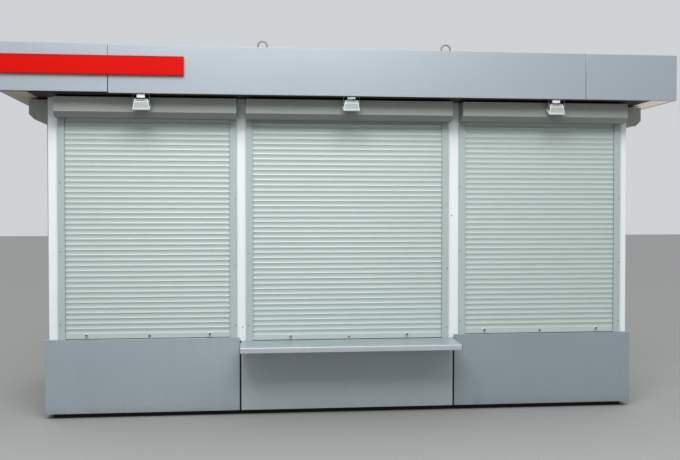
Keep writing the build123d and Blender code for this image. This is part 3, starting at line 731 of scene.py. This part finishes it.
rose_plastic = painted("rose_plastic", ROSE_PLASTIC, 0.4, POST_GRIME, streaks=0.0)
roses = bmesh.new()
studs = bmesh.new()
for x, z in PULLS:
    add_turned(roses, ROSE, on_bar(x, z) @ OUTWARDS, 24)
    add_turned(studs, STUD, on_bar(x, z) @ OUTWARDS, 20)
new_piece("pull_roses", roses, rose_plastic)
new_piece("pull_studs", studs, screw_steel)
dark_locks = bmesh.new()
for x, z in DARK_LOCKS:
    add_lock(dark_locks, x, z)
new_piece("curtain_locks", dark_locks, screw_steel)
brass_lock = bmesh.new()
add_lock(brass_lock, *BRASS_LOCK)
new_piece("middle_curtain_lock", brass_lock, brass)

# Shutter boxes: folded sheet boxes with a chamfered lower edge, closed by an end cap on each side.
# Each end cap is a flanged pressing that stands a little proud of the sheet, held by three screws.
BOX_GREEN = (0.345, 0.37, 0.345, 1)
BOX_UNDERSIDE_SHADE = (0.215, 0.225, 0.205, 1)
BOX_HEIGHT = 0.165
BOX_DEPTH = 0.168
BOX_CHAMFER = 0.044
BOX_FOLD = 0.002
CAP_PROUD = 0.0012
CAP_BAND = 0.027
CAP_FOLD = 0.001
CAP = ((0, -CAP_PROUD), (BOX_CHAMFER - BOX_DEPTH, -CAP_PROUD), (-BOX_DEPTH - CAP_PROUD, BOX_CHAMFER),
       (-BOX_DEPTH - CAP_PROUD, BOX_HEIGHT + CAP_PROUD), (0, BOX_HEIGHT + CAP_PROUD))
CAP_SCREWS = ((-0.120, 0.020), (-0.140, 0.140), (-0.030, 0.140))
box_coat = painted("box_coat", BOX_GREEN, 0.38, POST_GRIME, uneven=0.08, streaks=0.12, waves=0.001)
tree = box_coat.node_tree
# Painted shade: faces turned downwards are painted darker
facing = put(tree, "NewGeometry").outputs["True Normal"]
upwards = put(tree, "SeparateXYZ", Vector=facing).outputs["Z"]
recolour(box_coat, spread(tree, upwards, -0.3, -0.6), BOX_UNDERSIDE_SHADE, 0.8)
with_rounded_folds(("shutter_box_left", "shutter_box_middle", "shutter_box_right", "side_shutter_boxes"),
                   "folded", box_coat, BOX_FOLD)
caps = bmesh.new()
cap_screws = bmesh.new()
for _, left, right, _, place in bays():
    foot = place @ at(0, 0, BOX_BOTTOM)
    add_profile(caps, CAP, left - CAP_PROUD, left + CAP_BAND, foot)
    add_profile(caps, CAP, right - CAP_BAND, right + CAP_PROUD, foot)
    for x, side in ((left - CAP_PROUD, -90), (right + CAP_PROUD, 90)):
        for y, z in CAP_SCREWS:
            add_turned(cap_screws, PAN_HEAD, foot @ at(x, y, z) @ spun(side, "Y"), 14)
face_outwards(caps)
round_edges(caps, [e for e in caps.edges if e.calc_face_angle() > radians(30)], CAP_FOLD)
new_piece("box_end_caps", caps, box_coat)
new_piece("box_cap_screws", cap_screws, screw_steel)

# Soffit and roof: a sheet soffit in painted light and shade, brown shade over the walls, dull shade beyond
# the left one, pale light beyond the right.
# Over it lie galvanised beams and joists, and a grey cover with its edges turned up.
# The cover is dusty, with pale marks where rain has stood.
SOFFIT_LIT_PALE = (0.92, 0.80, 0.71, 1)
SOFFIT_LEFT_SHADE = (0.52, 0.45, 0.33, 1)
SOFFIT_BROWN_SHADE = (0.045, 0.030, 0.024, 1)
SOFFIT_SIDE = 2.595
ZINC = (0.42, 0.44, 0.45, 1)
ZINC_BRIGHT = (0.62, 0.64, 0.65, 1)
ROOF_GREY = (0.23, 0.24, 0.25, 1)
ROOF_DUST = (0.40, 0.385, 0.35, 1)
soffit_coat = painted("soffit_coat", SOFFIT_LIT_PALE, 0.45, POST_GRIME, streaks=0.0)
tree = soffit_coat.node_tree
across = object_axes(tree)["X"]
# Painted shade: left of the middle the soffit is painted duller; its pale base carries painted reflected
# light on the right
recolour(soffit_coat, maths(tree, "LESS_THAN", across, 0.0), SOFFIT_LEFT_SHADE)
# Painted shade: over the walls the soffit is painted dark brown
shade_over_walls = spread(tree, maths(tree, "ABSOLUTE", across), SOFFIT_SIDE + 0.002, SOFFIT_SIDE)
recolour(soffit_coat, shade_over_walls, SOFFIT_BROWN_SHADE)
dress(soffit_coat, "soffit_panel")
zinc_coat = painted("zinc_coat", ZINC, 0.40, POST_GRIME, streaks=0.1, metallic=0.8)
tree = zinc_coat.node_tree
cells = put(tree, "TexVoronoi", Vector=object_place(tree), Scale=70.0)
spangle = put(tree, "SeparateColor", Color=cells.outputs["Color"]).outputs[0]
recolour(zinc_coat, spangle, ZINC_BRIGHT, 0.4)
dress(zinc_coat, "roof_edge_beams", "roof_joists")
roof_coat = painted("roof_coat", ROOF_GREY, 0.75, streaks=0.0, uneven=0.5)
tree = roof_coat.node_tree
stood = noise_at(tree, 1.1, 3.0)
tide = maths(tree, "MULTIPLY", spread(tree, stood, 0.50, 0.535), spread(tree, stood, 0.60, 0.54))
speckle = maths(tree, "MULTIPLY", spread(tree, noise_at(tree, 90.0, 3.0), 0.45, 0.75), 0.12)
recolour(roof_coat, maths(tree, "MULTIPLY_ADD", tide, 0.09, speckle), ROOF_DUST)
dress(roof_coat, "roof_cover")

# Lifting loops: bent round bar with a worn, dulled coat, welded to the edge beams and proud of the roof.
# A rubber collar seals each leg where it comes through the roof cover.
LOOP_GREY = (0.30, 0.285, 0.265, 1)
LOOP_BAR = 0.015
LOOP_REACH = 0.0365
LOOP_BEND = 0.034
LOOP_XS = (-0.730, 0.803)
LOOP_YS = (-1.350, 1.350)
LOOP_SHARP = 60
COVER_TOP = 3.030
COLLAR = ((0.0074, 0), (0.019, 0), (0.018, 0.003), (0.010, 0.009), (0.0074, 0.009), (0.0074, 0))
loop_low, loop_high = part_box("lifting_loops")
bend_z = loop_high.z - LOOP_BAR / 2 - LOOP_BEND


def add_bent_bar(bm, x, y):
    """A bar that goes up from its foot, over two bends and down again."""
    ring = bmesh.ops.create_circle(bm, cap_ends=True, segments=16, radius=LOOP_BAR / 2,
                                   matrix=at(x - LOOP_REACH, y, loop_low.z))
    end = ring["verts"][0].link_faces[0]
    run = bend_z - loop_low.z
    inward = LOOP_REACH - LOOP_BEND
    steps = (
        (Vector((0, 0, run)), None),
        (None, Vector((x - inward, y, bend_z))),
        (Vector((2 * inward, 0, 0)), None),
        (None, Vector((x + inward, y, bend_z))),
        (Vector((0, 0, -run)), None),
    )
    for shift, centre in steps:
        if shift:
            grown = bmesh.ops.extrude_face_region(bm, geom=[end])["geom"]
        else:
            made = bmesh.ops.spin(bm, geom=[end], cent=centre, axis=(0, 1, 0), angle=pi / 2, steps=6)
            grown = made["geom_last"]
        end = next(part for part in grown if isinstance(part, bmesh.types.BMFace))
        if shift:
            bmesh.ops.translate(bm, vec=shift, verts=end.verts)


loop_coat = painted("loop_coat", LOOP_GREY, 0.62, POST_GRIME, streaks=0.2, metallic=0.3)
loops = bmesh.new()
collars = bmesh.new()
for x in LOOP_XS:
    for y in LOOP_YS:
        add_bent_bar(loops, x, y)
        for leg in (-LOOP_REACH, LOOP_REACH):
            add_turned(collars, COLLAR, at(x + leg, y, COVER_TOP), 20)
face_outwards(loops)
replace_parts(new_piece("lifting_bars", loops, loop_coat, LOOP_SHARP), "lifting_loops")
new_piece("loop_collars", collars, rubber)

# Fascia: folded cassettes of coated aluminium sheet round the roof, light blue-grey with a silver sheen.
# Very shallow waves show in the gloss, and the seams between the front cassettes are closed with dark strips.
# A bead of dark sealant lies on the left seam, from the lower edge up to the accent stripe.
FASCIA_SILVER = (0.40, 0.445, 0.485, 1)
FASCIA_FOLD = 0.0015
FASCIA_GAP_HALF = 0.0015
FASCIA_STRIP_HALF = 0.0014
FASCIA_STRIP_Y = (-1.4075, -1.398)
FASCIA_STRIP_INSETS = (0.004, 0.003)
BEAD_HALF = 0.0035
BEAD_Y = (-1.4108, -1.4085)
BEAD_TOP = 2.820
fascia_coat = painted("fascia_coat", FASCIA_SILVER, 0.34, POST_GRIME, uneven=0.06, streaks=0.06, waves=0.003,
                      metallic=0.3)
with_rounded_folds(("fascia_front_left", "fascia_front_middle", "fascia_front_right", "fascia_sides",
                    "fascia_back"), "cassette", fascia_coat, FASCIA_FOLD)
seam_low, seam_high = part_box("fascia_front_middle")
strip_foot = seam_low.z + FASCIA_STRIP_INSETS[0]
strip_top = seam_high.z - FASCIA_STRIP_INSETS[1]


def add_upright(bm, x, half, depths, top, rounding=0.0):
    """A strip in or on a seam of the fascia, from its lower edge up to a height."""
    add_block(bm, (x - half, depths[0], strip_foot), (x + half, depths[1], top), rounding)


fascia_strips = bmesh.new()
for x in (seam_low.x - FASCIA_GAP_HALF, seam_high.x + FASCIA_GAP_HALF):
    add_upright(fascia_strips, x, FASCIA_STRIP_HALF, FASCIA_STRIP_Y, strip_top)
new_piece("fascia_seam_strips", fascia_strips, rubber)
bead = bmesh.new()
add_upright(bead, seam_low.x - FASCIA_GAP_HALF, BEAD_HALF, BEAD_Y, BEAD_TOP, 0.0006)
new_piece("fascia_sealant_bead", bead, rubber)

# Accent stripe: a shallow box of glossy red plastic sheet, glued on the fascia round its left front corner.
# A clean gloss on the colour and shallow waves in the sheet.
STRIPE_RED = (0.55, 0.006, 0.002, 1)
STRIPE_FOLD = 0.002
stripe_gloss = painted("stripe_gloss", STRIPE_RED, 0.30, uneven=0.10, streaks=0.02, waves=0.002, coat=0.08)
shader_inputs(stripe_gloss)["Specular IOR Level"].default_value = 0.2
with_rounded_folds(("red_stripe",), "box", stripe_gloss, STRIPE_FOLD)

# Floodlights: die-cast housings, grey between white corner ribs and front frames, each tilted back on a bent
# stirrup under a terminal box.
# Each has a glass in its front frame and a tube before a polished reflector.
# Fins and two ledges stand on its back, and a round rib runs down each of its four corners.
LAMP_WHITE = (0.66, 0.69, 0.68, 1)
TERMINAL_AND_HIGHLIGHT_WHITE = (0.78, 0.79, 0.82, 1)
LAMP_GREY = (0.34, 0.385, 0.375, 1)
POLISHED = (0.75, 0.76, 0.77, 1)
QUARTZ = (0.82, 0.84, 0.84, 1)
CLEAR_GLASS = (0.90, 0.94, 0.93, 1)
LAMPS = ((-1.709, -1.709, 0.043), (0.006, 0.003, 0.030), (1.765, 1.752, 0.040))
LAMP_Y = -1.360
SOFFIT_Z = 2.680
LAMP_TILT = 30
LAMP_BACK = (0.108, 0.022)
LAMP_MOUTH = (0.129, 0.094)
LAMP_BODY = 0.058
LAMP_RIM = (0.140, 0.104, 0.015)
PANEL_BORDER = 0.007
PANEL_STEP = (0.001, -0.0025)
BITE = 0.001
FRAME_LAP = 0.004
FINS = range(-3, 4)
FIN_PITCH = 0.014
FIN_HALF = 0.0015
FIN_INSET = 0.003
FIN_HEIGHT = 0.005
CORNER_RIB = 0.0045
CORNER_INSET = 0.002
CORNER_START = -0.004
UPPER_LEDGE = (-0.008, 0.001)
LOWER_LEDGE = (-0.021, -0.0135)
LOWER_LEDGE_PROUD = (0.0045, 0.011)
GLASS_INSET = 0.008
GLASS = (0.004, 0.007)
REFLECTOR = (0.013, 0.015)
TUBE_DEPTH = 0.0105
TUBE_HALF = 0.050
TUBE_RADIUS = 0.0024
STIRRUP_HALF = 0.068
STIRRUP_STRIP = 0.003
STIRRUP_WIDTH = 0.025
STIRRUP_EDGE = 0.0008
PIVOT_DROP = 0.022
BOLT_START = 0.045
BOLT_END = STIRRUP_HALF + 0.0045
BOLT_RADIUS = 0.005
TERMINAL_HALF = 0.033
TERMINAL_Y = (-0.032, 0.002)
TERMINAL_GAPS = (0.008, -0.002)
NECK_HALF = 0.012
NECK_Y = (-0.010, 0.001)
NECK_GAPS = (-0.004, 0.010)
back_w, back_d = LAMP_BACK[0] / 2, LAMP_BACK[1] / 2
mouth_w, mouth_d = LAMP_MOUTH[0] / 2, LAMP_MOUTH[1] / 2
rim_w, rim_d = LAMP_RIM[0] / 2, LAMP_RIM[1] / 2
mouth_z = -LAMP_BODY - LAMP_RIM[2]
inner_w, inner_d = rim_w - GLASS_INSET, rim_d - GLASS_INSET


def add_slab(bm, half_w, half_d, levels, rounding, segments, place):
    """A block that is centred on the lamp's axis, between two levels."""
    add_block(bm, (-half_w, -half_d, levels[0]), (half_w, half_d, levels[1]), rounding, segments, place)


def add_lamp_body(bm, place):
    """A tapered housing with a sunk panel on each side and cooling fins on its back."""
    verts = bmesh.ops.create_cube(bm, size=1.0)["verts"]
    for vert in verts:
        size, level = (LAMP_BACK, 0) if vert.co.z > 0 else (LAMP_MOUTH, -LAMP_BODY)
        vert.co = (vert.co.x * size[0], vert.co.y * size[1], level)
    bm.normal_update()
    sides = [f for f in {f for v in verts for f in v.link_faces} if abs(f.normal.z) < 0.8]
    for thickness, depth in ((PANEL_BORDER, 0.0), PANEL_STEP):
        bmesh.ops.inset_individual(bm, faces=sides, thickness=thickness, depth=depth, use_even_offset=True)
    bmesh.ops.transform(bm, matrix=place, verts=connected(verts))
    for fin in FINS:
        centred = place @ at(fin * FIN_PITCH, 0, 0)
        add_slab(bm, FIN_HALF, back_d - FIN_INSET, (-BITE, FIN_HEIGHT), 0.0008, 1, centred)


def add_front_frame(bm, place):
    """Four bars round the glass. The two across the width run through, and the other two fit between them."""
    for side in (-1, 1):
        x0, x1 = sorted((side * rim_w, side * inner_w))
        y0, y1 = sorted((side * rim_d, side * inner_d))
        for low, high in (((-rim_w, y0), (rim_w, y1)), ((x0, -rim_d + FRAME_LAP), (x1, rim_d - FRAME_LAP))):
            add_block(bm, (*low, mouth_z), (*high, -LAMP_BODY + BITE), 0.002, 2, place)


bodies = bmesh.new()
ribs = bmesh.new()
ledges = bmesh.new()
frames = bmesh.new()
stirrups = bmesh.new()
terminal_boxes = bmesh.new()
bolts = bmesh.new()
reflectors = bmesh.new()
tubes = bmesh.new()
glasses = bmesh.new()
for x, box_x, drop in LAMPS:
    hung = at(x, LAMP_Y, SOFFIT_Z)
    hinge = at(0, 0, -drop) @ spun(LAMP_TILT, "X")
    tilted = hung @ hinge
    add_lamp_body(bodies, tilted)
    for side_x in (-1, 1):
        for side_y in (-1, 1):
            start = (side_x * (back_w - CORNER_INSET), side_y * (back_d - CORNER_INSET), CORNER_START)
            end = (side_x * (mouth_w - CORNER_INSET), side_y * (mouth_d - CORNER_INSET), -LAMP_BODY)
            add_rod(ribs, tilted @ Vector(start), tilted @ Vector(end), CORNER_RIB, 0.001, 12)
    add_block(ledges, (-back_w, -back_d - BITE, UPPER_LEDGE[0]), (back_w, back_d, UPPER_LEDGE[1]), 0.002,
              turned=tilted)
    proud_w, proud_d = LOWER_LEDGE_PROUD
    add_slab(ledges, back_w + proud_w, back_d + proud_d, LOWER_LEDGE, 0.003, 2, tilted)
    add_front_frame(frames, tilted)
    add_slab(glasses, inner_w, inner_d, [mouth_z + level for level in GLASS], 0.0005, 1, tilted)
    add_slab(reflectors, inner_w, inner_d, [mouth_z + level for level in REFLECTOR], 0.0005, 1, tilted)
    tube_ends = [tilted @ Vector((side * TUBE_HALF, 0, mouth_z + TUBE_DEPTH)) for side in (-1, 1)]
    add_rod(tubes, *tube_ends, TUBE_RADIUS, 0.0006, 12)

    pivot = hinge @ Vector((0, 0, -PIVOT_DROP))
    arm_y0, arm_y1 = pivot.y - STIRRUP_WIDTH / 2, pivot.y + STIRRUP_WIDTH / 2
    arm_low = pivot.z - STIRRUP_WIDTH / 2
    inner = STIRRUP_HALF - STIRRUP_STRIP
    for x0, x1, z0, z1 in ((-STIRRUP_HALF, STIRRUP_HALF, -STIRRUP_STRIP, 0),
                           (-STIRRUP_HALF, -inner, arm_low, -BITE), (inner, STIRRUP_HALF, arm_low, -BITE)):
        add_block(stirrups, (x0, arm_y0, z0), (x1, arm_y1, z1), STIRRUP_EDGE, 1, hung)
    for side in (-1, 1):
        ends = [hung @ Vector((side * reach, pivot.y, pivot.z)) for reach in (BOLT_START, BOLT_END)]
        add_rod(bolts, *ends, BOLT_RADIUS, 0.0008, 6)
    shift = box_x - x
    add_block(terminal_boxes, (shift - TERMINAL_HALF, TERMINAL_Y[0], -drop + TERMINAL_GAPS[0]),
              (shift + TERMINAL_HALF, TERMINAL_Y[1], TERMINAL_GAPS[1]), 0.005, 3, hung)
    add_block(stirrups, (shift - NECK_HALF, NECK_Y[0], -drop + NECK_GAPS[0]),
              (shift + NECK_HALF, NECK_Y[1], -drop + NECK_GAPS[1]), 0.002, 2, hung)

lamp_coat = painted("lamp_coat", LAMP_WHITE, 0.35, POST_GRIME, streaks=0.1)
terminal_and_highlight_coat = painted("terminal_and_highlight_coat", TERMINAL_AND_HIGHLIGHT_WHITE, 0.35, POST_GRIME, streaks=0.1)
lamp_grey = painted("lamp_grey", LAMP_GREY, 0.40, POST_GRIME, streaks=0.1, peel=0.00015)
polished = painted("polished_reflector", POLISHED, 0.18, streaks=0.0, metallic=1.0)
quartz = painted("quartz_tube", QUARTZ, 0.12, streaks=0.0)
glass = painted("lamp_glass", CLEAR_GLASS, 0.06, streaks=0.0)
shader_inputs(glass)["Transmission Weight"].default_value = 0.9
shader_inputs(glass)["IOR"].default_value = 1.5
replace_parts(new_piece("lamp_bodies", bodies, lamp_grey), "floodlights")
for name, bm, material in (
    ("lamp_ribs", ribs, lamp_coat),
    # The ledges take the terminal boxes' brighter white as a painted highlight
    ("lamp_ledges", ledges, terminal_and_highlight_coat),
    ("lamp_front_frames", frames, lamp_coat),
    ("lamp_stirrups", stirrups, lamp_grey),
    ("lamp_terminal_boxes", terminal_boxes, terminal_and_highlight_coat),
    ("lamp_bolts", bolts, screw_steel),
    ("lamp_reflectors", reflectors, polished),
    ("lamp_tubes", tubes, quartz),
    ("lamp_glasses", glasses, glass),
):
    new_piece(name, bm, material)

# Stage: a plain pale floor under a soft sky, and the camera at the photograph's viewpoint.
# A large softbox stands over the front, and two broad fills light the front and the back.
# A low softbox beside the right end lights the soffit from below.
FLOOR_GREY = (0.29, 0.29, 0.285, 1)
FLOOR_SIZE = 60.0
BACKDROP = (0.60, 0.62, 0.64, 1)
HORIZON_LIGHT = (0.10, 0.105, 0.11, 1)
OVERHEAD_LIGHT = (0.95, 0.98, 1.0, 1)
EYE = Vector((-0.8805, -8.6895, 1.714))
YAW = 6.154
PITCH = -1.08
LENS = 46.97
floor_bm = bmesh.new()
bmesh.ops.create_grid(floor_bm, x_segments=1, y_segments=1, size=FLOOR_SIZE)
floor_mesh = bpy.data.meshes.new("floor")
floor_bm.to_mesh(floor_mesh)
floor_bm.free()
floor_paint = bpy.data.materials.new("floor_paint")
floor_paint.use_nodes = True
shader_inputs(floor_paint)["Base Color"].default_value = FLOOR_GREY
shader_inputs(floor_paint)["Roughness"].default_value = 0.8
floor_mesh.materials.append(floor_paint)
floor = add_object("floor", floor_mesh)

world = bpy.data.worlds.new("studio")
world.use_nodes = True
sky = world.node_tree
towards = put(sky, "TexCoord").outputs["Generated"]
height = put(sky, "SeparateXYZ", Vector=towards).outputs["Z"]
dome = blend_colours(sky, spread(sky, height, 0.10, 0.75), HORIZON_LIGHT, OVERHEAD_LIGHT)
seen = put(sky, "LightPath").outputs["Is Camera Ray"]
background = sky.nodes["Background"]
join(sky, blend_colours(sky, seen, dome, BACKDROP), background.inputs["Color"])
background.inputs["Strength"].default_value = 0.9
bpy.context.scene.world = world


def softbox(name, place, target, width, depth, power):
    """A large area light that faces a point."""
    light = bpy.data.lights.new(name, "AREA")
    light.shape = "RECTANGLE"
    light.size = width
    light.size_y = depth
    light.energy = power
    lamp = add_object(name, light)
    lamp.location = place
    lamp.rotation_mode = "QUATERNION"
    lamp.rotation_quaternion = (Vector(target) - Vector(place)).to_track_quat("-Z", "Y")
    return lamp


def fill(name, height, turn, width, strength):
    """A broad, even light that comes from a height and a direction, in degrees, far away."""
    light = bpy.data.lights.new(name, "SUN")
    light.energy = strength
    light.angle = radians(width)
    lamp = add_object(name, light)
    lamp.rotation_euler = (radians(90 - height), 0, radians(turn))
    lamp.visible_glossy = False


softbox("sky", place=(-0.7, -6.1, 6.6), target=(-0.2, -0.9, 1.4), width=6.0, depth=3.2, power=410)
ground_bounce = softbox("ground_bounce", place=(3.95, -0.2, 0.03), target=(3.95, -0.2, 3.0), width=2.2,
                        depth=2.6, power=34)
ground_bounce.visible_camera = False
ground_bounce.visible_glossy = False
fill("front_fill", height=6, turn=-10, width=26, strength=0.30)
fill("back_fill", height=28, turn=172, width=110, strength=1.1)

camera_data = bpy.data.cameras.new("camera")
camera_data.lens = LENS
camera_data.sensor_width = 36.0
camera = add_object("camera", camera_data)
camera.location = EYE
camera.rotation_euler = (radians(90 + PITCH), 0, radians(-YAW))
bpy.context.scene.camera = camera
bpy.context.scene.view_settings.view_transform = "Standard"
bpy.context.scene.view_settings.look = "Medium High Contrast"
